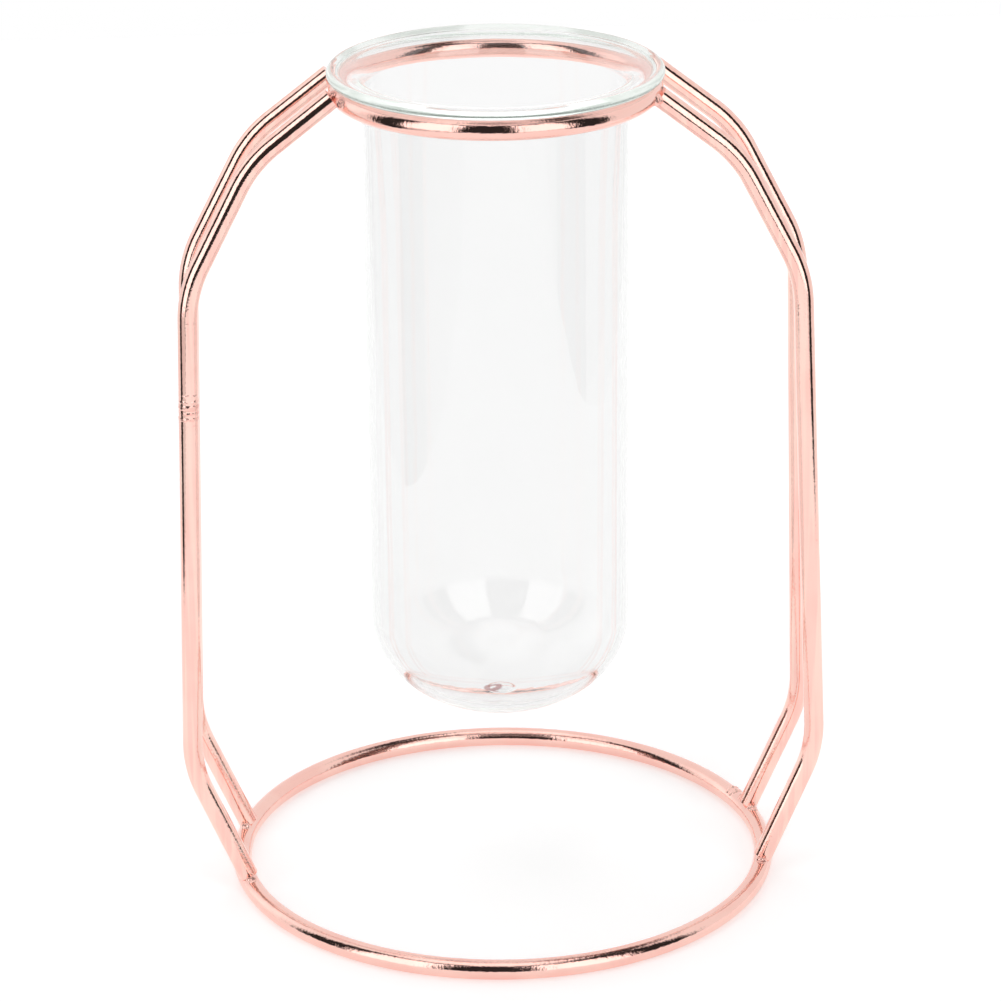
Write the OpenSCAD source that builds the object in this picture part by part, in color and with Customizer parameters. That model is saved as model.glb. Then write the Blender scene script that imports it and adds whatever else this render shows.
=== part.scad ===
// Hydroponic vase: a glass tube with a flared rim hangs in a wire stand
// The stand has a small ring for the glass, a large ring on the table and four bent legs
// Z points up, X runs across the two pairs of legs, and -Y is the front
// The origin is on the table, under the middle of the rings

/* [Wire rings] */
// Thickness of the wire that the whole stand is made of
wire_d = 3.5; // [2.8:0.1:4.2]
// Radius of the large ring on the table, to the middle of its wire
base_ring_r = 47.5; // [44:0.5:52]
// Radius of the small ring that holds the glass, to the middle of its wire
top_ring_r = 26.7; // [26:0.1:29]
// Height of the middle of the small ring's wire above the table
top_ring_height = 144.9; // [142:0.1:160]

/* [Legs] */
// How far a leg's first bend, the shoulder, stands out past the middle of the small ring's wire
shoulder_reach = 15.2; // [13:0.1:17]
// How far the shoulder lies below the middle of the small ring's wire
shoulder_drop = 10; // [8:0.1:14]
// How far the second bend, the knee, stands out past the middle of the large ring's wire
knee_reach = 5.8; // [3.5:0.1:7.5]
// How far the knee lies below the middle of the small ring's wire
knee_drop = 32.2; // [29:0.1:45]
// How far the last bend, the ankle, stands out past the middle of the large ring's wire
ankle_reach = 8.1; // [6:0.1:12]
// Height of the ankle
ankle_height = 24.7; // [20:0.1:35]
// Bend radius of every bend in a leg, to the middle of the wire
leg_bend_r = 21.7; // [12:0.1:24]
// Half the gap between the two legs of a pair where they meet the small ring
pair_half_gap_top = 7.8; // [6:0.1:9]
// Half the gap between the two legs of a pair at the knee
pair_half_gap_knee = 8.8; // [7:0.1:10]
// Half the gap between the two legs of a pair where they meet the large ring
pair_half_gap_foot = 10.8; // [9:0.1:14]
// How far the upper half of the front right leg is tucked in, as pictured
front_right_tuck = 1.4; // [0:0.1:2]
// How much thinner the wire is where it is bent
bend_thinning = 0.02; // [0.01:0.01:0.05]
// How far below the knee the two lengths of wire in the front left leg are joined
splice_drop = 20.2; // [15:0.1:50]
// Width of the cut in the front left leg that the weld fills
splice_gap = 1; // [0.5:0.1:2]

/* [Ring seams] */
// Distance along the large ring from the back right foot to the ring's butt weld
base_seam_from_foot = 6; // [5.9:0.1:20]
// Direction of the small ring's butt weld, turned from +X towards +Y
top_seam_angle = 120.8; // [60:0.1:140]

/* [Glass tube] */
// Gap between the outside of the tube and the inside of the small ring
tube_gap = 2.05; // [1:0.05:3]
// Thickness of the tube's wall
glass_wall = 1.3; // [1.1:0.1:1.9]
// Thickness of the rim, which is thicker than the wall
rim_thick = 1.9; // [1.5:0.1:2.4]
// Thickness of the glass at the middle of the bottom
bottom_thick = 1.3; // [1.1:0.1:3]
// How far the rim reaches past the middle of the small ring's wire
rim_reach = 2.05; // [1:0.05:3]
// Gap between the rim and the wire that it rests on
rim_gap = 0.2; // [0.1:0.05:0.4]
// Radius of the bend from the wall into the rim, on the outside of the glass
rim_bend_r = 2.5; // [2:0.1:3]
// Length of the glass from the top of the small ring down to its lowest point
tube_drop = 115.4; // [90:0.1:120]
// Radius of the round corner between the wall and the bottom
corner_r = 15.2; // [12:0.1:18]
// Radius of the gently curved bottom
bottom_r = 28.8; // [27:0.1:40]
// Height of the small drop of glass left inside, in the middle of the bottom
drop_height = 0.6; // [0.3:0.1:1]
// Radius of the round of that drop
drop_r = 5; // [4:0.5:8]

/* [Hidden] */
wire_r = wire_d / 2;
base_ring_height = wire_r;

// The sides of the stand and of a pair, as signs of X and Y
LEFT = -1;
RIGHT = 1;
FRONT = -1;
BACK = 1;

// Where a leg's cut top end stands off the small ring's wire, in shares of the wire's radius
leg_top_reach_share = 1.31;
leg_top_rise_share = 0.51;
// Where its cut foot stands off the large ring's wire, in the same way
leg_foot_reach_share = 0.1;
leg_foot_rise_share = 0.9;

// How much of the tuck each point of the leg takes, inwards and downwards
tuck_shares = [[0.6, 0.8], [0.8, 0.6], [1, 0], [0.1, 0.1], [0, 0]];

// Lumps of the weld beads: along the ring, out towards the leg, and their radius,
// all in shares of the wire's radius
weld_shares = [
  [1.3, 0.8, 0.6], [1.7, 0.6, 0.56],
  [-1.25, 0.75, 0.64], [-1.7, 0.7, 0.45],
];
top_seam_shares = [[-0.7, 0.3, 0.88], [0, 0.38, 0.84], [0.75, 0.28, 0.9]];
base_seam_shares = [[-0.3, 0.32, 0.86], [0.35, 0.36, 0.84]];
// Lumps of the splice: along the leg, and their radius, in shares of the wire's radius
splice_shares = [[-1.4, 1.08], [-0.75, 1.05], [0, 1.12], [0.75, 1.06], [1.4, 1.09]];

shoulder_out = top_ring_r + shoulder_reach;
shoulder_height = top_ring_height - shoulder_drop;
knee_out = base_ring_r + knee_reach;
knee_height = top_ring_height - knee_drop;
ankle_out = base_ring_r + ankle_reach;

// Direction of the large ring's butt weld, turned from +X towards +Y
base_seam_angle =
  asin(pair_half_gap_foot / base_ring_r) + base_seam_from_foot / base_ring_r * 180 / PI;

tube_r = top_ring_r - wire_r - tube_gap;
bore_r = tube_r - glass_wall;
rim_r = top_ring_r + rim_reach;
rim_under = top_ring_height + wire_r + rim_gap;
rim_top = rim_under + rim_thick;
mouth_r = rim_bend_r + glass_wall;
tube_bottom = top_ring_height + wire_r - tube_drop;

// Overrun of the cuts past the faces that they open
overrun = wire_d;

wire_colour = [0.93, 0.68, 0.62];
weld_colour = [0.88, 0.62, 0.56];
glass_colour = [0.85, 0.95, 0.95, 0.35];

// How far a bend's thinner ends run into the straight wire on both sides, as an angle
bend_lap = sqrt(bend_thinning / leg_bend_r) * 45 / PI;

$fn = 96;

// Plain vector helpers

function unit(v) = v / norm(v);

// The point at height z on the straight line from p to q
function at_height(p, q, z) = p + (q - p) * (z - p.z) / (q.z - p.z);

// A bend's tangent length and middle, for a corner at q between p and r
function half_corner(p, q, r) = acos(unit(p - q) * unit(r - q)) / 2;
function bend_tangent(p, q, r) = leg_bend_r / tan(half_corner(p, q, r));
function bend_middle(p, q, r) =
  q + unit(unit(p - q) + unit(r - q)) * leg_bend_r / sin(half_corner(p, q, r));

// Route of one leg, from its cut end at the small ring to its cut end at the large ring

// Across and up: the leg's points in its own plane, for a leg with this much tuck
function leg_outline(tuck) =
  let (
    top_out = top_ring_r + leg_top_reach_share * wire_r,
    top_height = top_ring_height + leg_top_rise_share * wire_r,
    foot_out = base_ring_r + leg_foot_reach_share * wire_r,
    foot_height = base_ring_height + leg_foot_rise_share * wire_r,
    outline = [
      [sqrt(top_out ^ 2 - pair_half_gap_top ^ 2), top_height],
      [shoulder_out, shoulder_height],
      [knee_out, knee_height],
      [ankle_out, ankle_height],
      [sqrt(foot_out ^ 2 - pair_half_gap_foot ^ 2), foot_height],
    ]
  )
  [for (i = [0 : len(outline) - 1]) outline[i] - tuck * tuck_shares[i]];

// Each leg is bent flat, in the plane through its two ends and its knee
function leg_depth(outline, i) =
  let (
    top = [outline[0].x, pair_half_gap_top, outline[0].y],
    knee = [outline[2].x, pair_half_gap_knee, outline[2].y],
    foot = [outline[4].x, pair_half_gap_foot, outline[4].y],
    plane = cross(knee - top, foot - top)
  )
  pair_half_gap_top
    - (plane.x * (outline[i].x - top.x) + plane.z * (outline[i].y - top.z)) / plane.y;

function leg_points(side, face, tuck = 0) =
  let (outline = leg_outline(tuck))
  [
    for (i = [0 : len(outline) - 1])
      [side * outline[i].x, face * leg_depth(outline, i), outline[i].y]
  ];

front_left = leg_points(LEFT, FRONT);
front_right = leg_points(RIGHT, FRONT, front_right_tuck);
back_left = leg_points(LEFT, BACK);
back_right = leg_points(RIGHT, BACK);

// The splice lies in the upright, between the knee and the ankle
splice_middle = at_height(front_left[2], front_left[3], front_left[2].z - splice_drop);
splice_down = unit(front_left[3] - front_left[2]);
splice_top = splice_middle - splice_down * splice_gap / 2;
splice_bottom = splice_middle + splice_down * splice_gap / 2;

// Wire forms

// Places its children at a point, with their Z axis along a direction
module aim(point, direction) {
  translate(point)
    rotate([0, acos(direction.z / norm(direction)), atan2(direction.y, direction.x)])
      children();
}

module straight_wire(from, to) {
  aim(from, to - from)
    cylinder(r = wire_r, h = norm(to - from));
}

// The round bend at q, on the way from p to r, with both ends run into the straight wire
module wire_bend(p, q, r) {
  middle = bend_middle(p, q, r);
  turn = 180 - 2 * half_corner(p, q, r);
  start = unit(q + unit(p - q) * bend_tangent(p, q, r) - middle);
  up = unit(cross(unit(q - p), unit(r - q)));
  side = cross(up, start);
  multmatrix([
    [start.x, side.x, up.x, middle.x],
    [start.y, side.y, up.y, middle.y],
    [start.z, side.z, up.z, middle.z],
  ])
    rotate([0, 0, -bend_lap])
      rotate_extrude(angle = turn + 2 * bend_lap, $fn = 180)
        translate([leg_bend_r, 0])
          circle(r = wire_r - bend_thinning / 2);
}

// A bent wire: straight runs between the bends, with cut ends
module bent_wire(points) {
  last = len(points) - 1;
  for (i = [0 : last - 1]) {
    p = points[i];
    q = points[i + 1];
    way = unit(q - p);
    from = i == 0 ? p : p + way * bend_tangent(points[i - 1], p, q);
    to = i + 1 == last ? q : q - way * bend_tangent(p, q, points[i + 2]);
    straight_wire(from, to);
  }
  for (i = [1 : 1 : last - 1])
    wire_bend(points[i - 1], points[i], points[i + 1]);
}

module wire_ring(ring_r, height) {
  translate([0, 0, height])
    rotate_extrude($fn = 180)
      translate([ring_r, 0])
        circle(r = wire_r);
}

module both_rings() {
  wire_ring(top_ring_r, top_ring_height);
  wire_ring(base_ring_r, base_ring_height);
}

// A leg's ends are shaped to the rings that they are welded to
module leg(points) {
  color(wire_colour)
    difference() {
      bent_wire(points);
      both_rings();
    }
}

// Weld beads

// Round lumps beside a ring, each with its poles along the ring
module weld_lumps(shares, middle, along, out) {
  for (lump = shares)
    translate(middle + (lump[0] * along + lump[1] * out) * wire_r)
      rotate([90, 0, atan2(middle.y, middle.x)])
        sphere(r = lump[2] * wire_r);
}

// The bead where a leg's end, reached from its last bend, meets a ring
module leg_weld(end, bend, ring_r, ring_height) {
  turn = atan2(end.y, end.x);
  middle = [ring_r * cos(turn), ring_r * sin(turn), ring_height];
  along = [-sin(turn), cos(turn), 0] * sign(-end.x);
  color(weld_colour)
    difference() {
      weld_lumps(weld_shares, middle, along, unit(end - middle));
      wire_ring(ring_r, ring_height);
      straight_wire(end, bend);
    }
}

module top_weld(points) {
  leg_weld(points[0], points[1], top_ring_r, top_ring_height);
}

module foot_weld(points) {
  leg_weld(points[4], points[3], base_ring_r, base_ring_height);
}

// The bead left proud where a ring's two ends are butted together
module seam_weld(shares, ring_r, ring_height, turn, out) {
  middle = [ring_r * cos(turn), ring_r * sin(turn), ring_height];
  along = [-sin(turn), cos(turn), 0];
  color(weld_colour)
    difference() {
      weld_lumps(shares, middle, along, out);
      wire_ring(ring_r, ring_height);
    }
}

// Sub-parts

module top_ring() {
  color(wire_colour)
    wire_ring(top_ring_r, top_ring_height);
}

module top_ring_seam_weld() {
  outwards = [cos(top_seam_angle), sin(top_seam_angle), 0];
  seam_weld(top_seam_shares, top_ring_r, top_ring_height, top_seam_angle, outwards);
}

module base_ring() {
  color(wire_colour)
    wire_ring(base_ring_r, base_ring_height);
}

module base_ring_seam_weld() {
  upwards = [0, 0, 1];
  seam_weld(base_seam_shares, base_ring_r, base_ring_height, base_seam_angle, upwards);
}

module front_left_leg_upper() {
  leg([front_left[0], front_left[1], front_left[2], splice_top]);
}

module front_left_leg_lower() {
  leg([splice_bottom, front_left[3], front_left[4]]);
}

module front_left_leg_splice_weld() {
  color(weld_colour)
    difference() {
      for (lump = splice_shares)
        translate(splice_middle + splice_down * lump[0] * wire_r)
          sphere(r = lump[1] * wire_r);
      straight_wire(splice_top, front_left[2]);
      straight_wire(splice_bottom, front_left[3]);
    }
}

module front_right_leg() {
  leg(front_right);
}

module back_left_leg() {
  leg(back_left);
}

module back_right_leg() {
  leg(back_right);
}

module front_left_top_weld() {
  top_weld(front_left);
}

module front_right_top_weld() {
  top_weld(front_right);
}

module back_left_top_weld() {
  top_weld(back_left);
}

module back_right_top_weld() {
  top_weld(back_right);
}

module front_left_foot_weld() {
  foot_weld(front_left);
}

module front_right_foot_weld() {
  foot_weld(front_right);
}

module back_left_foot_weld() {
  foot_weld(back_left);
}

module back_right_foot_weld() {
  foot_weld(back_right);
}

// Half of a round-bottomed shape, from its axis out to radius r
module round_bottom_half(r, side_r, base_r, bottom, top) {
  base_middle = bottom + base_r;
  reach = sqrt((base_r - side_r) ^ 2 - (r - side_r) ^ 2);
  side_middle = base_middle - reach;
  lean = atan2(r - side_r, reach);
  translate([0, side_middle])
    square([r, top - side_middle]);
  intersection() {
    translate([r - side_r, side_middle])
      circle(r = side_r, $fn = 180);
    translate([0, bottom - overrun])
      square([r + overrun, top - bottom]);
  }
  intersection() {
    translate([0, base_middle])
      circle(r = base_r, $fn = 360);
    polygon([
      [0, base_middle],
      [0, bottom - overrun],
      [(base_r + overrun) * tan(lean), bottom - overrun],
    ]);
  }
}

// The hollow of the tube, with the small drop of glass left standing at its bottom
module hollow_half() {
  hollow_bottom = tube_bottom + bottom_thick;
  side_r = corner_r - glass_wall;
  difference() {
    round_bottom_half(bore_r, side_r, bottom_r - glass_wall, hollow_bottom, rim_top + overrun);
    translate([0, hollow_bottom + drop_height - drop_r])
      circle(r = drop_r, $fn = 180);
  }
}

// The wall bends out into a flat rim with a round edge
module rim_half() {
  translate([tube_r, rim_under - rim_bend_r])
    difference() {
      square([rim_bend_r, rim_bend_r + rim_thick]);
      translate([rim_bend_r, 0])
        circle(r = rim_bend_r, $fn = 180);
    }
  translate([tube_r + rim_bend_r, rim_under])
    square([rim_r - rim_thick / 2 - tube_r - rim_bend_r, rim_thick]);
  translate([rim_r - rim_thick / 2, rim_under + rim_thick / 2])
    circle(r = rim_thick / 2);
}

module mouth_round_half() {
  translate([bore_r, rim_top - mouth_r])
    difference() {
      square([mouth_r, mouth_r + overrun]);
      translate([mouth_r, 0])
        circle(r = mouth_r, $fn = 180);
    }
}

module glass_tube() {
  color(glass_colour)
    rotate_extrude($fn = 180)
      difference() {
        union() {
          round_bottom_half(tube_r, corner_r, bottom_r, tube_bottom, rim_top);
          rim_half();
        }
        hollow_half();
        mouth_round_half();
      }
}

top_ring();
top_ring_seam_weld();
base_ring();
base_ring_seam_weld();
front_left_leg_upper();
front_left_leg_lower();
front_left_leg_splice_weld();
front_right_leg();
back_left_leg();
back_right_leg();
front_left_top_weld();
front_right_top_weld();
back_left_top_weld();
back_right_top_weld();
front_left_foot_weld();
front_right_foot_weld();
back_left_foot_weld();
back_right_foot_weld();
glass_tube();
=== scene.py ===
# %% [markdown]
# # A glass tube vase in a rose gold wire stand
# The real object is a plain glass tube with a flared rim. It hangs in a small ring of wire,
# which four bent legs carry above a large ring on the table. The wire is steel, welded by hand
# and then plated. The solids of the construction model are already in place and to size. This
# lesson makes the surfaces that a camera sees: smooth bent wire, rough welds and real glass.
# Lengths are in millimetres here, and Blender's own unit is the metre, so MM stands beside
# each length that is handed to Blender.

# %% Load the frame and keep its box
import math

import bpy
from mathutils import Matrix, Vector


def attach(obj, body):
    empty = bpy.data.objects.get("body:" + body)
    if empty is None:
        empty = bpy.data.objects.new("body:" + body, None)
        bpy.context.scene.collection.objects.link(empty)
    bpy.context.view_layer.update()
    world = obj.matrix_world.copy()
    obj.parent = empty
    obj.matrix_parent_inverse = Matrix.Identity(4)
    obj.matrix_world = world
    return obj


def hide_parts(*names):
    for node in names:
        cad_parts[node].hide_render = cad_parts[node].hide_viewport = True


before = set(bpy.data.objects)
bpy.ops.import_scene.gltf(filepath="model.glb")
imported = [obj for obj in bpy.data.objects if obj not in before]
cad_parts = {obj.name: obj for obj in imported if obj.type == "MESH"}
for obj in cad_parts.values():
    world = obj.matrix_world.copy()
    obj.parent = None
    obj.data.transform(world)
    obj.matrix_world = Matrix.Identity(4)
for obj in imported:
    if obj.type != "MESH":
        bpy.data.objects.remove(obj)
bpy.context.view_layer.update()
MM = 0.001


# %% [markdown]
# ## The camera
# The photograph was taken from the front, a little to the left and from above. The place and
# the lens were found from the outlines of both rings, the legs and the glass, so every piece
# that is made to size falls on its picture. The camera could be turned by eye, but a few
# measured numbers hold it still while the rest is built.

# %% Set the camera
CAMERA_DISTANCE, CAMERA_HEIGHT = 637.72, 319.34
CAMERA_AZIMUTH = math.radians(-3.5476)
AIM_ACROSS, AIM_HEIGHT = 0.1655, 69.589
ROLL = -0.0094
FOCAL_LENGTH, SENSOR_WIDTH = 139.466, 36
NEAREST, FARTHEST = 0.01, 20

across = Vector((math.cos(CAMERA_AZIMUTH), math.sin(CAMERA_AZIMUTH), 0))
place = Vector((
    CAMERA_DISTANCE * math.sin(CAMERA_AZIMUTH),
    -CAMERA_DISTANCE * math.cos(CAMERA_AZIMUTH),
    CAMERA_HEIGHT,
))
aim = across * AIM_ACROSS + Vector((0, 0, AIM_HEIGHT))
look = (aim - place).normalized()
level = look.cross(Vector((0, 0, 1))).normalized()
upright = Matrix((level, level.cross(look), -look)).transposed()
turned = upright @ Matrix.Rotation(ROLL, 3, "Z")

lens = bpy.data.cameras.new("studio_lens")
lens.sensor_width = SENSOR_WIDTH
lens.lens = FOCAL_LENGTH
lens.clip_start, lens.clip_end = NEAREST, FARTHEST
camera = bpy.data.objects.new("studio_camera", lens)
bpy.context.scene.collection.objects.link(camera)
camera.matrix_world = Matrix.Translation(place * MM) @ turned.to_4x4()
bpy.context.scene.camera = camera
bpy.context.scene.view_settings.view_transform = "Standard"
print("camera at", [round(v) for v in place], "mm")

# %% [markdown]
# ## Writing finishes as sums
# A finish is a small tree of nodes. Placing each node by hand is slow to read, so one small
# class stands for a socket. A sum written with it adds its own Math nodes, and every other
# node comes from one method. The few nodes that come back again and again, such as noise, get
# a short name of their own.

# %% A socket that can be added and multiplied
class Shade:
    """One socket of a tree of nodes."""

    def __init__(self, tree, socket=None):
        self.tree, self.socket = tree, socket

    def node(self, kind, settings=None, values=None, out=0):
        """Adds a node: its settings first, then the values or links of its sockets."""
        made = self.tree.nodes.new(kind)
        for name, value in (settings or {}).items():
            setattr(made, name, value)
        for name, value in (values or {}).items():
            if isinstance(value, Shade):
                self.tree.links.new(value.socket, made.inputs[name])
            else:
                made.inputs[name].default_value = value
        return Shade(self.tree, made.outputs[out] if made.outputs else None)

    def math(self, operation, *terms):
        """Adds a Math node on the terms."""
        return self.node("ShaderNodeMath", {"operation": operation}, dict(enumerate(terms)))

    def __add__(self, other):
        return self.math("ADD", self, other)

    def __sub__(self, other):
        return self.math("SUBTRACT", self, other)

    def __mul__(self, other):
        return self.math("MULTIPLY", self, other)

    def __rsub__(self, other):
        return self.math("SUBTRACT", other, self)

    def __neg__(self):
        return self.math("MULTIPLY", self, -1)

    __radd__ = __add__
    __rmul__ = __mul__

    def max(self, other):
        return self.math("MAXIMUM", self, other)

    def root(self):
        return self.math("SQRT", self)

    def rise(self, start, end):
        """Goes softly from 0 at start to 1 at end."""
        settings = {"interpolation_type": "SMOOTHSTEP"}
        return self.node("ShaderNodeMapRange", settings, {"Value": self, "From Min": start, "From Max": end})

    def band(self, low, high, soft):
        """1 between low and high, with soft edges."""
        return self.rise(low - soft, low + soft) * (1 - self.rise(high - soft, high + soft))

    def split(self):
        """The three numbers of a vector."""
        return [self.node("ShaderNodeSeparateXYZ", values={"Vector": self}, out=i) for i in range(3)]

    def stretched(self, along):
        """The same place with the height shrunk, which makes a pattern on it long."""
        return self.node("ShaderNodeMapping", values={"Vector": self, "Scale": (1, 1, along)})

    def noise(self, scale, detail=2.0, rough=0.5):
        """Cloudy values between 0 and 1 over a place, with about that many lumps to the metre."""
        values = {"Vector": self, "Scale": scale, "Detail": detail, "Roughness": rough}
        return self.node("ShaderNodeTexNoise", values=values)

    def relief(self):
        """Takes the value as a height in millimetres, and gives the bumped normal."""
        return self.node("ShaderNodeBump", values={"Strength": 1.0, "Distance": MM, "Height": self})

    def ray(self, kind):
        """What Light Path says about the ray that sees the surface."""
        return self.node("ShaderNodeLightPath", out=kind)


def mix(amount, first, second):
    """A colour between two, by an amount."""
    values = {"Factor": amount, 6: first, 7: second}
    return amount.node("ShaderNodeMix", {"data_type": "RGBA"}, values, out=2)


def lay_over(under, mask, light):
    """Lays a light over what is under it, where the mask is 1."""
    return under * (1 - mask) + mask * light


def grey(value):
    return (value, value, value, 1)


print("sums ready")

# %% [markdown]
# ## The studio
# Polished metal is mostly a picture of the room around it. Its dark streaks and white bands
# tell where the lights stood: two tall soft boxes in front, a half lit floor under them, dark
# gaps between and beside them, and a white ceiling. Real lamps and cards could be hung up, but
# one sky that is painted by direction is smoother and free of grain. Each card has a left and
# a right edge, counted from the front towards the right, a low and a high edge, and sometimes
# a softness, all in degrees.
# The camera sees a white backdrop. Glass passes on what stands behind it a little greyer, and
# darker from straight overhead, so such rays get their own light.

# %% Name the cards and their light
DEGREES = math.pi / 180
LEFT_BOX, RIGHT_BOX = (-69, -31, -12, 56), (11, 49, -12, 56)
UNDER_LEFT_BOX, UNDER_RIGHT_BOX = (-69, -31, -60, -10), (11, 49, -60, -10)
FRONT_GAP, HIGH_GAP = (-96, 79, -60, 62), (40, 158, 58, 74, 5)
BACK_LEFT_CARD = (-132, -108, 2, 40, 8)
CEILING_EDGE, OVERHEAD_EDGE, HORIZON = (66, 76), (74, 84), (-2, 4)

ROOM, CEILING, BACK_CARD = 0.95, 1.3, 1.25
SOFT_BOX, UNDER_BOX, GAP = 1.6, 0.75, 0.028
BACKDROP, BEHIND_GLASS, OVER_GLASS = 1.0, 0.92, 0.5

sky = bpy.data.worlds.new("studio_sky")
sky.use_nodes = True
sky.node_tree.nodes.clear()
sky_paint = Shade(sky.node_tree)
x, y, z = sky_paint.node("ShaderNodeTexCoord", out="Generated").split()
side = sky_paint.math("ARCTAN2", x, -y)
height = sky_paint.math("ARCSINE", z)
print("two soft boxes of", RIGHT_BOX[1] - RIGHT_BOX[0], "by", RIGHT_BOX[3] - RIGHT_BOX[2], "degrees")


# %% Paint the sky by direction
def card(left, right, low, high, soft=1.0):
    """A mask that is 1 on a card in the sky."""
    wide = side.band(left * DEGREES, right * DEGREES, soft * DEGREES)
    return wide * height.band(low * DEGREES, high * DEGREES, soft * DEGREES)


def above(edge):
    """A mask that goes from 0 to 1 over an edge given by two heights."""
    return height.rise(edge[0] * DEGREES, edge[1] * DEGREES)


light = card(*BACK_LEFT_CARD) * (BACK_CARD - ROOM) + ROOM
light = lay_over(light, above(CEILING_EDGE), CEILING)
light = lay_over(light, card(*FRONT_GAP).max(card(*HIGH_GAP)), GAP)
light = lay_over(light, card(*UNDER_LEFT_BOX).max(card(*UNDER_RIGHT_BOX)), UNDER_BOX)
light = lay_over(light, card(*LEFT_BOX).max(card(*RIGHT_BOX)), SOFT_BOX)

through_glass = sky_paint.ray("Is Transmission Ray")
seen = lay_over(light, through_glass * above(OVERHEAD_EDGE), OVER_GLASS)
seen = lay_over(seen, through_glass * (1 - above(HORIZON)), BEHIND_GLASS)
seen = lay_over(seen, sky_paint.ray("Is Camera Ray"), BACKDROP)
painted = sky_paint.node("ShaderNodeBackground", values={"Color": seen, "Strength": 1.0})
sky_paint.node("ShaderNodeOutputWorld", values={"Surface": painted})
bpy.context.scene.world = sky
print("sky nodes", len(sky.node_tree.nodes))

# %% [markdown]
# ## The table
# The stand is on a plain white table top. A board with straight edges is enough, and it ends
# where the metal shows a dark gap. An endless floor would be simpler, but then the wire would
# mirror white all the way out. A little light of its own, for the camera and for mirrored
# rays, makes the table as white as the background and keeps the shadow. A ray through clear
# glass counts as mirrored too, so it is given its own, smaller amount.

# %% Hold a piece, and open it in edit mode
def fresh(primitive, **settings):
    """Deselects everything, adds a primitive and returns it."""
    bpy.ops.object.select_all(action="DESELECT")
    primitive(**settings)
    return bpy.context.object


def only(piece):
    """Leaves edit mode, and selects one object and nothing else."""
    if bpy.context.object and bpy.context.object.mode == "EDIT":
        bpy.ops.object.mode_set(mode="OBJECT")
    bpy.ops.object.select_all(action="DESELECT")
    piece.select_set(True)
    bpy.context.view_layer.objects.active = piece


def edit(piece, kind="VERT"):
    """Opens a piece in edit mode with all of it selected."""
    only(piece)
    bpy.ops.object.mode_set(mode="EDIT")
    bpy.ops.mesh.select_mode(type=kind)
    bpy.ops.mesh.select_all(action="SELECT")


def settle(piece):
    """Puts the piece's place into its mesh."""
    only(piece)
    bpy.ops.object.transform_apply(location=True, rotation=True, scale=True)


print("four ways to hold a piece")

# %% Lay the table
TABLE_LEFT, TABLE_RIGHT, TABLE_FRONT, TABLE_BACK = -220, 270, -460, 600
TABLE_BORDER = 20

table_wide, table_deep = TABLE_RIGHT - TABLE_LEFT, TABLE_BACK - TABLE_FRONT
table_middle = ((TABLE_LEFT + TABLE_RIGHT) / 2 * MM, (TABLE_FRONT + TABLE_BACK) / 2 * MM, 0)
table = fresh(bpy.ops.mesh.primitive_plane_add, size=MM, location=(0, 0, 0))
table.name = "table_top"
edit(table, "FACE")
bpy.ops.transform.resize(value=(table_wide, table_deep, 1))
bpy.ops.transform.translate(value=table_middle)
bpy.ops.mesh.inset(thickness=TABLE_BORDER * MM, depth=0)
settle(table)
print("table", table_wide, "by", table_deep, "mm")

# %% Paint the table
TABLE_GLOW, GLOW_IN_GLASS = 0.44, 0.34
TABLE_DEEP, TABLE_PALE, WHITE = grey(0.79), grey(0.81), grey(1)
TABLE_LUMPS = 900.0


def new_finish(name):
    """An empty material, the start of its tree, and the place of each point on the piece."""
    finish = bpy.data.materials.new(name)
    finish.use_nodes = True
    finish.node_tree.nodes.clear()
    first = Shade(finish.node_tree)
    return finish, first, first.node("ShaderNodeTexCoord", out="Object")


table_white, paint, spot = new_finish("table_white")
chalk = mix(spot.noise(TABLE_LUMPS, 3.0), TABLE_DEEP, TABLE_PALE)
matt = paint.node("ShaderNodeBsdfDiffuse", values={"Color": chalk})
mirrored = paint.ray("Is Camera Ray").max(paint.ray("Is Glossy Ray"))
shine = lay_over(mirrored * TABLE_GLOW, paint.ray("Is Transmission Ray"), GLOW_IN_GLASS)
glow = paint.node("ShaderNodeEmission", values={"Color": WHITE, "Strength": shine})
both = paint.node("ShaderNodeAddShader", values={0: matt, 1: glow})
paint.node("ShaderNodeOutputMaterial", values={"Surface": both})
table.data.materials.append(table_white)
print("table painted")

# %% [markdown]
# ## Rose gold plating
# The wire is bright rose gold. Under the plating the steel keeps fine pits and ripples, so the
# edges of the mirrored dark bands are ragged. Two sizes of noise in the bump make the edges
# ragged, a slow noise changes the colour a little, and the fine noise of the pits changes the
# gloss. The legs also keep the long marks of the die that the wire was drawn through: noise that
# is stretched along the height mixes in a paler rose. The welds carry the same plating on a much
# rougher skin.

# %% Mix the plating
ROSE_PALE = (0.965, 0.615, 0.54, 1)
ROSE_DEEP = (0.95, 0.57, 0.5, 1)
ROSE_CREAM = (0.985, 0.74, 0.64, 1)
ROSE_BURNT = (0.86, 0.46, 0.4, 1)
TONE_LUMPS, RIPPLE_LUMPS, STREAK_LUMPS, PIT_LUMPS = 120.0, 450.0, 900.0, 2200.0
STREAK_STRETCH = 0.03
TONE_EDGE, STREAK_EDGE = (0.35, 0.65), (0.42, 0.62)


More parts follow.
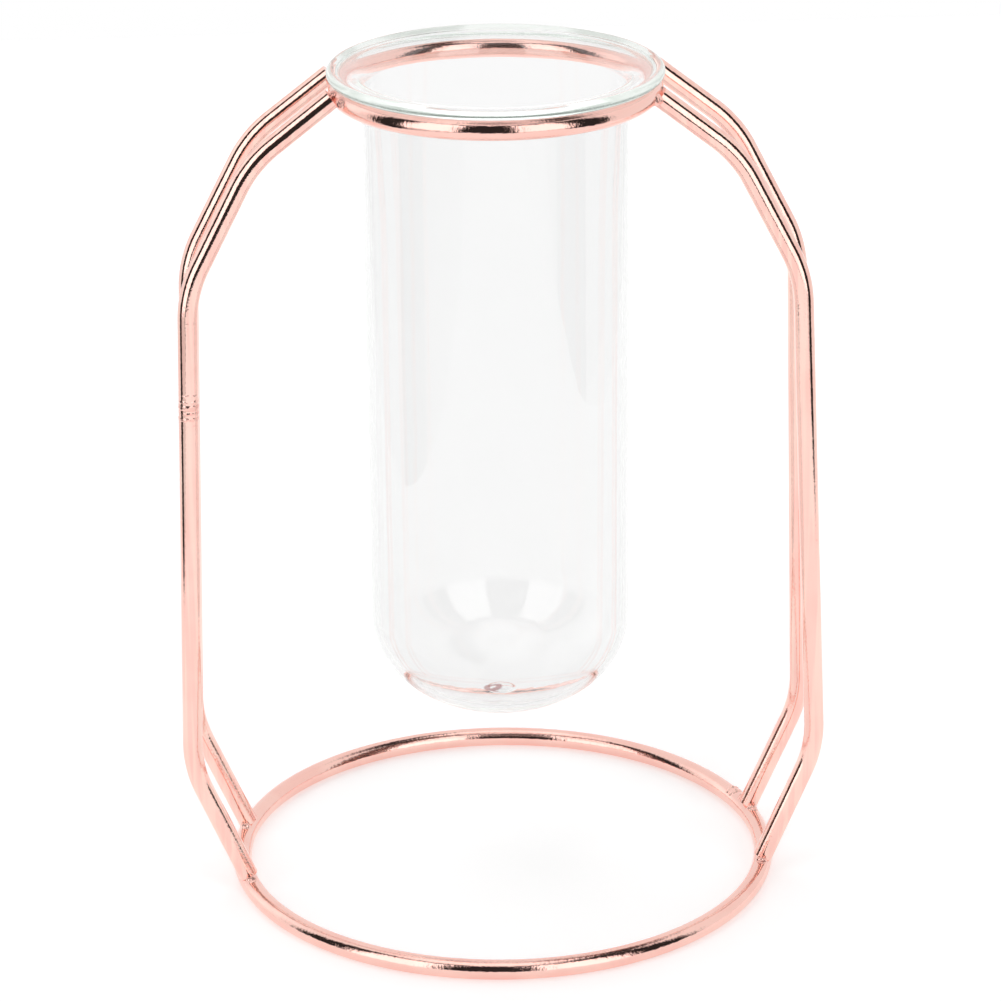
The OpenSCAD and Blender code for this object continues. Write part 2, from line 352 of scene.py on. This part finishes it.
def plating(name, pale, deep, ripple, pits, gloss, dull, drawn=0):
    """Rose plating between two colours. Ripple and pits are heights in millimetres, gloss and
    dull are the least and the most roughness, and drawn says how far the long marks show."""
    finish, mixture, spot = new_finish(name)
    fine = spot.noise(PIT_LUMPS, 3.0, 0.6)
    tone = mix(spot.noise(TONE_LUMPS).rise(*TONE_EDGE), pale, deep)
    if drawn:
        streaks = spot.stretched(STREAK_STRETCH).noise(STREAK_LUMPS, 1.0)
        tone = mix(streaks.rise(*STREAK_EDGE) * drawn, tone, ROSE_CREAM)
    skin = (spot.noise(RIPPLE_LUMPS) * ripple + fine * pits).relief()
    metal = mixture.node("ShaderNodeBsdfPrincipled", values={
        "Base Color": tone,
        "Metallic": 1.0,
        "Roughness": gloss + fine * (dull - gloss),
        "Normal": skin,
    })
    mixture.node("ShaderNodeOutputMaterial", values={"Surface": metal})
    return finish


rose_wire = plating("rose_gold_wire", ROSE_PALE, ROSE_DEEP, 0.055, 0.03, 0.03, 0.09)
rose_leg = plating("rose_gold_drawn_wire", ROSE_PALE, ROSE_DEEP, 0.02, 0.016, 0.03, 0.1, drawn=0.45)
rose_weld = plating("rose_gold_weld", ROSE_PALE, ROSE_BURNT, 0.06, 0.03, 0.1, 0.25)
print("plating ready")

# %% [markdown]
# ## The rings
# Each ring is one wire bent round and butt welded. A torus would give the shape in one step,
# but a drawn circle that is spun about the ring's axis is the way that every other piece of
# this stand is made, and it lets the number of faces follow the size.

# %% Draw the end of a wire
WIRE_R = 1.75
WIRE_SIDES = 32


def drawn_circle(point, along):
    """The cut end of a wire, as a ring of edges at a point, facing along the wire."""
    turn = Vector(along).to_track_quat("Z", "Y").to_euler()
    piece = fresh(bpy.ops.mesh.primitive_circle_add, vertices=WIRE_SIDES, radius=WIRE_R * MM,
                  location=Vector(point) * MM, rotation=turn)
    settle(piece)
    return piece


def close_up(piece):
    """Merges what meets, turns the faces outwards and makes them smooth."""
    edit(piece)
    bpy.ops.mesh.remove_doubles(threshold=0.001 * MM)
    bpy.ops.mesh.normals_make_consistent(inside=False)
    settle(piece)
    bpy.ops.object.shade_smooth_by_angle(angle=math.radians(40))


def finished(piece, name, body, finish, node):
    """Names a piece, gives it its finish and its body, and hides the solid of the node that it stands for.
    """
    piece.name = name
    piece.data.name = name
    piece.data.materials.clear()
    piece.data.materials.append(finish)
    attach(piece, body)
    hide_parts(node)
    return piece


def wire(piece, name, finish, node):
    """A finished piece of wire on the stand."""
    return finished(piece, name, "stand", finish, node)


print("wire of", 2 * WIRE_R, "mm")

# %% Bend the rings
BASE_RING_R, BASE_RING_STEPS = 47.5, 256
TOP_RING_R, TOP_RING_STEPS = 26.7, 192
TOP_RING_HEIGHT = 144.9


def ring(ring_r, height, steps):
    """Spins the end of a wire about the upright axis into a closed ring."""
    piece = drawn_circle((ring_r, 0, height), (0, 1, 0))
    edit(piece)
    bpy.ops.mesh.spin(steps=steps, angle=2 * math.pi, center=(0, 0, height * MM), axis=(0, 0, 1))
    close_up(piece)
    return piece


base_ring = wire(ring(BASE_RING_R, WIRE_R, BASE_RING_STEPS), "base_ring_wire", rose_wire, "base_ring")
top_ring = wire(ring(TOP_RING_R, TOP_RING_HEIGHT, TOP_RING_STEPS), "top_ring_wire", rose_wire, "top_ring")
print("rings", len(base_ring.data.polygons), len(top_ring.data.polygons), "faces")

# %% [markdown]
# ## The legs
# A leg is one wire with three bends: a shoulder, a knee and an ankle. It is bent flat, in one
# plane, and both ends sink into their rings a little, so that the weld can join them. The five
# corners could be placed by hand, but a flat wire leaves no choice: once the gap between the
# two legs of a pair is known at the top, the knee and the foot, the depth of the other corners
# follows. The front right leg is tucked in at the top, as on the real stand.

# %% Work out the corners of the legs
SHOULDER, KNEE, ANKLE = (41.9, 134.9), (53.3, 112.7), (55.6, 24.7)
GAP_TOP, GAP_KNEE, GAP_FOOT = 7.8, 8.8, 10.8
TOP_OUT, TOP_UP = 1.31 * WIRE_R, 0.51 * WIRE_R
FOOT_OUT, FOOT_HEIGHT = 0.1 * WIRE_R, 1.9 * WIRE_R
FRONT_RIGHT_TUCK = 1.4
TUCKS = ((0.6, 0.8), (0.8, 0.6), (1, 0), (0.1, 0.1), (0, 0))
SPLICE_DROP = 20.2


def other_side(longest, side):
    """The third side of a triangle with a right angle."""
    return math.sqrt(longest**2 - side**2)


def leg_points(left_right, front_back, tuck=0):
    """The five corners of a leg, from the small ring down, on one side and one face."""
    outline = [
        (other_side(TOP_RING_R + TOP_OUT, GAP_TOP), TOP_RING_HEIGHT + TOP_UP),
        SHOULDER,
        KNEE,
        ANKLE,
        (other_side(BASE_RING_R + FOOT_OUT, GAP_FOOT), FOOT_HEIGHT),
    ]
    outline = [(a - tuck * i, b - tuck * d) for (a, b), (i, d) in zip(outline, TUCKS)]
    known = ((0, GAP_TOP), (2, GAP_KNEE), (4, GAP_FOOT))
    top, knee, foot = (Vector((outline[i][0], gap, outline[i][1])) for i, gap in known)
    flat = (knee - top).cross(foot - top)
    depths = [GAP_TOP - (flat.x * (a - top.x) + flat.z * (b - top.z)) / flat.y for a, b in outline]
    return [Vector((left_right * a, front_back * depth, b)) for (a, b), depth in zip(outline, depths)]


LEGS = {
    "front_left": leg_points(-1, -1),
    "front_right": leg_points(1, -1, FRONT_RIGHT_TUCK),
    "back_left": leg_points(-1, 1),
    "back_right": leg_points(1, 1),
}
front_left = LEGS["front_left"]
down = (front_left[3] - front_left[2]).normalized()
splice = front_left[2] + down * (SPLICE_DROP / -down.z)
print("splice at", [round(v, 1) for v in splice])

# %% [markdown]
# The wire is drawn as it is bent on the bench: the cut end is extruded along each straight
# run, and spun about the middle of each bend. A curve with a round bevel would be quicker, but
# its bends are only nearly round. The front left leg is welded from two lengths, so it is
# drawn in two pieces, and each ends just short of the splice's middle.

# %% Bend the legs
LEG_BEND_R, BEND_STEPS = 21.7, 24
SHORT_OF_SPLICE = 0.5


def extrude_by(step):
    bpy.ops.mesh.extrude_region_move(TRANSFORM_OT_translate={"value": step * MM})


def bent_wire(points):
    """Draws a wire through its corner points, with a round bend at each."""
    way = (points[1] - points[0]).normalized()
    piece = drawn_circle(points[0], way)
    edit(piece)
    at = points[0]
    for i in range(1, len(points) - 1):
        after = (points[i + 1] - points[i]).normalized()
        half = (points[i - 1] - points[i]).angle(points[i + 1] - points[i]) / 2
        bend_start = points[i] - way * LEG_BEND_R / math.tan(half)
        middle = points[i] + (after - way).normalized() * LEG_BEND_R / math.sin(half)
        extrude_by(bend_start - at)
        bpy.ops.mesh.spin(steps=BEND_STEPS, angle=math.pi - 2 * half, center=middle * MM,
                          axis=after.cross(way).normalized())
        at = points[i] + after * LEG_BEND_R / math.tan(half)
        way = after
    extrude_by(points[-1] - at)
    bpy.ops.mesh.select_all(action="DESELECT")
    bpy.ops.mesh.select_mode(type="EDGE")
    bpy.ops.mesh.select_non_manifold(extend=False)
    bpy.ops.mesh.edge_face_add()
    close_up(piece)
    return piece


wires = {
    "front_right_leg": LEGS["front_right"],
    "back_left_leg": LEGS["back_left"],
    "back_right_leg": LEGS["back_right"],
    "front_left_leg_upper": [*front_left[:3], splice - down * SHORT_OF_SPLICE],
    "front_left_leg_lower": [splice + down * SHORT_OF_SPLICE, *front_left[3:]],
}
for name, points in wires.items():
    leg = wire(bent_wire(points), name + "_wire", rose_leg, name)
    print(name, len(leg.data.polygons), "faces")

# %% [markdown]
# ## The welds
# Where a leg meets a ring, a few lumps of metal have run into the corner. Each weld starts as
# balls that are joined, melted into one skin by a remesh, and pushed about by a cloud texture.
# They could be sculpted one by one, but balls are placed in a moment, and the texture lies in
# the room, so no two welds come out alike. A lump is written as its place along the wire, its
# place outwards and its radius, all counted in wire radii. A lump of the splice sits on the
# leg's own line, so it has no place outwards.

# %% Melt the welds
LEG_LUMPS = ((1.3, 0.8, 0.6), (1.7, 0.6, 0.56), (-1.25, 0.75, 0.64), (-1.7, 0.7, 0.45))
TOP_SEAM_LUMPS = ((-0.7, 0.3, 0.88), (0, 0.38, 0.84), (0.75, 0.28, 0.9))
BASE_SEAM_LUMPS = ((-0.3, 0.32, 0.86), (0.35, 0.36, 0.84))
SPLICE_LUMPS = ((-1.9, 0.98), (-1.2, 1.0), (-0.6, 1.01), (0, 1.03), (0.6, 1.01), (1.2, 1.02), (1.9, 0.99))
WELD_ROUGH, SPLICE_ROUGH = 0.35, 0.16
SKIN_VOXEL = 0.09

ripples = bpy.data.textures.new("weld_ripples", "CLOUDS")
ripples.noise_scale = 0.9 * MM
ripples.noise_depth = 2


def modify(piece, kind, **settings):
    """Adds a modifier and applies it."""
    only(piece)
    bpy.ops.object.modifier_add(type=kind)
    added = piece.modifiers[-1]
    for name, value in settings.items():
        setattr(added, name, value)
    bpy.ops.object.modifier_apply(modifier=added.name)


def melted(balls, rough):
    """One skin over balls, given as (middle, radius), that is rough by some millimetres."""
    parts = [fresh(bpy.ops.mesh.primitive_ico_sphere_add, subdivisions=4, radius=radius * MM,
                   location=Vector(middle) * MM) for middle, radius in balls]
    for part in parts:
        part.select_set(True)
    bpy.ops.object.join()
    piece = bpy.context.object
    settle(piece)
    modify(piece, "REMESH", mode="VOXEL", voxel_size=SKIN_VOXEL * MM)
    modify(piece, "SMOOTH", factor=0.5, iterations=5)
    modify(piece, "DISPLACE", texture=ripples, texture_coords="GLOBAL", mid_level=0.5, strength=rough * MM)
    close_up(piece)
    return piece


def bead(piece, name, node):
    """A finished weld on the stand."""
    finished(piece, name, "stand", rose_weld, node)
    print(name, len(piece.data.polygons), "faces")


print("lumps for a leg's weld", len(LEG_LUMPS), "and for the splice", len(SPLICE_LUMPS))


# %% Weld the legs to the rings
def on_ring(angle, ring_r, ring_height):
    """A point on the middle of a ring's wire, and the way that the wire runs there."""
    middle = Vector((ring_r * math.cos(angle), ring_r * math.sin(angle), ring_height))
    return middle, Vector((-math.sin(angle), math.cos(angle), 0))


def beside(middle, along, out, lumps):
    """Lumps on a ring's wire as balls."""
    return [(middle + (along * a + out * o) * WIRE_R, r * WIRE_R) for a, o, r in lumps]


def leg_weld(end, ring_r, ring_height):
    middle, along = on_ring(math.atan2(end.y, end.x), ring_r, ring_height)
    along = along * math.copysign(1, -end.x)
    return melted(beside(middle, along, (end - middle).normalized(), LEG_LUMPS), WELD_ROUGH)


for name, points in LEGS.items():
    bead(leg_weld(points[0], TOP_RING_R, TOP_RING_HEIGHT), name + "_top_bead", name + "_top_weld")
    bead(leg_weld(points[4], BASE_RING_R, WIRE_R), name + "_foot_bead", name + "_foot_weld")

# %% Weld the seams and the splice
TOP_SEAM = math.radians(120.8)
PAST_THE_FOOT = 6
BASE_SEAM = math.asin(GAP_FOOT / BASE_RING_R) + PAST_THE_FOOT / BASE_RING_R


def seam_weld(angle, ring_r, ring_height, out, lumps):
    return melted(beside(*on_ring(angle, ring_r, ring_height), out, lumps), WELD_ROUGH)


outwards = Vector((math.cos(TOP_SEAM), math.sin(TOP_SEAM), 0))
upwards = Vector((0, 0, 1))
bead(seam_weld(TOP_SEAM, TOP_RING_R, TOP_RING_HEIGHT, outwards, TOP_SEAM_LUMPS),
     "top_ring_seam_bead", "top_ring_seam_weld")
bead(seam_weld(BASE_SEAM, BASE_RING_R, WIRE_R, upwards, BASE_SEAM_LUMPS),
     "base_ring_seam_bead", "base_ring_seam_weld")
bead(melted([(splice + down * a * WIRE_R, r * WIRE_R) for a, r in SPLICE_LUMPS], SPLICE_ROUGH),
     "front_left_splice_bead", "front_left_leg_splice_weld")

# %% [markdown]
# ## The glass
# The tube is one piece of drawn glass. Its end was melted shut into a round bottom, and its
# mouth was heated and opened into a rim, whose edge ran together into a bead that is thicker
# than the wall. Inside, where the end was closed, a small drop of glass was left. A cylinder
# with a Solidify modifier would be quicker, but its wall couldn't swell into the bead and the
# drop. So the half outline is drawn as on a turning bench, from the middle of the bottom round
# the rim and down the inside, and spun about the axis into one closed skin, because light
# bends wrongly in glass without an inside.

# %% Measure the glass
TUBE_R, BORE_R, WALL = 22.9, 21.6, 1.3
TUBE_BOTTOM, HOLLOW_BOTTOM = 31.25, 32.55
CORNER_R, BOTTOM_R = 15.2, 28.8
RIM_EDGE, RIM_UNDER, RIM_THICK, RIM_BEND_R = 27.8, 146.85, 1.9, 2.5
FILLET_R = 1.2
DROP_R, DROP_HEIGHT = 5, 0.6
GLASS_STEPS = 192

corner_out = TUBE_R - CORNER_R
corner_in = BOTTOM_R - CORNER_R
corner_height = TUBE_BOTTOM + BOTTOM_R - other_side(corner_in, corner_out)
lean = math.degrees(math.atan2(corner_out, other_side(corner_in, corner_out)))
print("the bottom's arc spans", round(lean, 1), "degrees")


# %% Start at the middle of the bottom
def line_to(across_mm, up_mm, now):
    """Extrudes the drawn point in a straight line, and returns where it is."""
    step = Vector((across_mm - now.x, 0, up_mm - now.z))
    extrude_by(step)
    return now + step


def wall_to(across_mm, from_mm, up_mm, now):
    """Extrudes the point along the tube in four lengths, which keeps the faces short."""
    for share in (0.25, 0.5, 0.75, 1):
        now = line_to(across_mm, from_mm + (up_mm - from_mm) * share, now)
    return now


def arc_by(across_mm, up_mm, degrees, now, steps):
    """Spins the drawn point about a middle, anticlockwise as seen from the front."""
    middle = Vector((across_mm, 0, up_mm))
    turn = math.radians(degrees)
    bpy.ops.mesh.spin(steps=steps, angle=abs(turn), center=middle * MM, axis=(0, math.copysign(1, turn), 0))
    return middle + Matrix.Rotation(-turn, 3, "Y") @ (now - middle)


glass = fresh(bpy.ops.mesh.primitive_circle_add, vertices=3, radius=MM, location=(0, 0, TUBE_BOTTOM * MM))
settle(glass)
edit(glass)
bpy.ops.mesh.merge(type="CENTER")
now = Vector((0, 0, TUBE_BOTTOM))
print("outline starts at", [round(v, 3) for v in now])

# %% Draw the outside, up to the rim's edge
flare_height = RIM_UNDER - RIM_BEND_R
now = arc_by(0, TUBE_BOTTOM + BOTTOM_R, lean, now, steps=20)
now = arc_by(corner_out, corner_height, 90 - lean, now, steps=24)
now = wall_to(TUBE_R, corner_height, flare_height, now)
now = arc_by(TUBE_R + RIM_BEND_R, flare_height, -90, now, steps=14)
now = line_to(RIM_EDGE, RIM_UNDER, now)
print("rim's edge at", [round(v, 3) for v in now])

# %% Draw the bead, the fillet inside it and the mouth
bead_r = RIM_THICK / 2
mouth_r = RIM_BEND_R + WALL
mouth_top = RIM_UNDER + WALL
fillet_rise = mouth_top + FILLET_R - RIM_UNDER - bead_r
fillet_in = other_side(bead_r + FILLET_R, fillet_rise)
slope = math.degrees(math.atan2(fillet_rise, fillet_in))
bore_top = mouth_top - mouth_r
now = arc_by(RIM_EDGE, RIM_UNDER + bead_r, 270 - slope, now, steps=24)
now = arc_by(RIM_EDGE - fillet_in, mouth_top + FILLET_R, slope - 90, now, steps=8)
now = line_to(BORE_R + mouth_r, mouth_top, now)
now = arc_by(BORE_R + mouth_r, bore_top, 90, now, steps=18)
print("bore starts at", [round(v, 3) for v in now])

# %% Draw the inside, down to the drop
inner_r = BOTTOM_R - WALL
inner_middle = HOLLOW_BOTTOM + inner_r
inner_height = inner_middle - other_side(inner_r - CORNER_R + WALL, BORE_R - CORNER_R + WALL)
drop_middle = HOLLOW_BOTTOM + DROP_HEIGHT - DROP_R
meet = (inner_r**2 - DROP_R**2 - inner_middle**2 + drop_middle**2) / (2 * (drop_middle - inner_middle))
drop_out = other_side(DROP_R, meet - drop_middle)
now = wall_to(BORE_R, bore_top, inner_height, now)
now = arc_by(corner_out, inner_height, lean - 90, now, steps=24)
now = arc_by(0, inner_middle, math.degrees(math.asin(drop_out / inner_r)) - lean, now, steps=20)
now = arc_by(0, drop_middle, math.degrees(math.asin(drop_out / DROP_R)), now, steps=8)
print("outline ends at", [round(v, 3) for v in now])

# %% Spin the outline
bpy.ops.mesh.select_all(action="SELECT")
bpy.ops.mesh.spin(steps=GLASS_STEPS, angle=2 * math.pi, center=(0, 0, 0), axis=(0, 0, 1))
close_up(glass)
print("glass", len(glass.data.polygons), "faces")

# %% [markdown]
# ## Clear glass
# Drawn glass is clear, but never quite even: faint lines run along it, and its skin is a little
# wavy. Long thin noise in the bump gives those lines. The glass also swallows a little light
# on the way through, which shows where it is seen edge on, and a volume does that best. The
# back of the rim's bead is a little green. On the drop inside the bottom, a little to the left,
# a small dark rose ring is a painted reflection: the image of the base ring that the drop shows,
# painted into the glass's colour. Where such a tint starts and where it is full is a pair of
# lengths in millimetres.
# Some rays never get out of a wall. In real glass they spread and make the edge glow, and a
# render drops them after the last bounce, which draws a black rim. So the bounces are many,
# and at the last two the surface gives a pale light of its own, brighter at the front.

# %% Place the tints of the glass
GLASS_DEEP, GLASS_PALE = grey(0.975), grey(0.985)
GREEN_DEEP, GREEN_PALE = (0.74, 0.78, 0.74, 1), (0.92, 0.95, 0.92, 1)
BEAD_OUT, BEAD_HEIGHT, BEAD_BACK = (26.2, 27.2), (146, 147), (-5, 15)
# The dark rose ring on the drop is a painted reflection of the base ring, laid into the glass's colour.
PAINTED_REFLECTION_ROSE, PAINTED_REFLECTION_LEFT = (0.3, 0.1, 0.1, 1), 1.5
PAINTED_REFLECTION_HOLE, PAINTED_REFLECTION_EDGE, PAINTED_REFLECTION_FOOT, PAINTED_REFLECTION_TOP = (0.3, 0.7), (1.5, 1.9), (32.2, 32.4), (33.5, 34)
WAVE_LUMPS, PATCH_LUMPS, PATCH_EDGE = 60.0, 130.0, (0.4, 0.6)

clear_glass, melt, spot = new_finish("clear_drawn_glass")
x_at, y_at, z_at = (part * (1 / MM) for part in spot.split())


def far_from(across_mm):
    """How far a point is from an upright line, in millimetres."""
    return ((x_at - across_mm) * (x_at - across_mm) + y_at * y_at).root()


waves = spot.noise(WAVE_LUMPS, 1.0)
patches = spot.noise(PATCH_LUMPS, 1.0).rise(*PATCH_EDGE)
rim_bead = far_from(0).rise(*BEAD_OUT) * z_at.rise(*BEAD_HEIGHT)
# Where the painted reflection of the base ring lies on the drop.
from_painted_reflection = far_from(-PAINTED_REFLECTION_LEFT)
painted_ring_reflection = from_painted_reflection.rise(*PAINTED_REFLECTION_HOLE) * (1 - from_painted_reflection.rise(*PAINTED_REFLECTION_EDGE))
painted_ring_reflection = painted_ring_reflection * z_at.rise(*PAINTED_REFLECTION_FOOT) * (1 - z_at.rise(*PAINTED_REFLECTION_TOP))
tint = mix(waves, GLASS_DEEP, GLASS_PALE)
tint = mix(rim_bead * y_at.rise(*BEAD_BACK), tint, mix(patches, GREEN_DEEP, GREEN_PALE))
tint = mix(painted_ring_reflection, tint, PAINTED_REFLECTION_ROSE)
print("painted_ring_reflection", PAINTED_REFLECTION_LEFT, "mm left of the middle")

# %% Melt the glass
LAST_TURN = 12
CAUGHT_FRONT, CAUGHT_DEEP, CAUGHT_PALE = grey(0.68), (0.33, 0.35, 0.33, 1), (0.42, 0.43, 0.42, 1)
CAUGHT_BACK = (-16, -4)
SWALLOWED, SWALLOWING = (0.9, 0.908, 0.903, 1), 85.0
REFRACTION = 1.5
LINE_LUMPS, LINE_STRETCH = 350.0, 0.04
LINE_DEPTH, WAVE_DEPTH = 0.012, 0.05

lines = spot.stretched(LINE_STRETCH).noise(LINE_LUMPS, 3.0)
turns = melt.ray("Ray Depth")
caught = melt.math("GREATER_THAN", turns, LAST_TURN - 1.5)
caught_light = mix(y_at.rise(*CAUGHT_BACK), CAUGHT_FRONT, mix(patches, CAUGHT_DEEP, CAUGHT_PALE))
surface = melt.node("ShaderNodeBsdfPrincipled", values={
    "Base Color": tint,
    "Roughness": 0.0,
    "IOR": REFRACTION,
    "Transmission Weight": 1.0,
    "Normal": (lines * LINE_DEPTH + waves * WAVE_DEPTH).relief(),
    "Emission Color": mix(caught, grey(0), caught_light),
    "Emission Strength": 1.0,
})
inside = melt.node("ShaderNodeVolumeAbsorption", values={"Color": SWALLOWED, "Density": SWALLOWING})
melt.node("ShaderNodeOutputMaterial", values={"Surface": surface, "Volume": inside})
finished(glass, "glass_tube_drawn", "tube", clear_glass, "glass_tube")

bounces = bpy.context.scene.cycles
bounces.max_bounces = bounces.glossy_bounces = bounces.transmission_bounces = LAST_TURN
print("glass finish ready")

# %% [markdown]
# ## Finishes for the solids underneath
# They get the same finishes, so that nothing is left plain.

# %% Dress the solids
def finish_for(name):
    if name == "glass_tube":
        return clear_glass
    if "weld" in name:
        return rose_weld
    return rose_leg if "leg" in name else rose_wire


for name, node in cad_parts.items():
    node.data.materials.clear()
    node.data.materials.append(finish_for(name))
print("solids dressed", len(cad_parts))
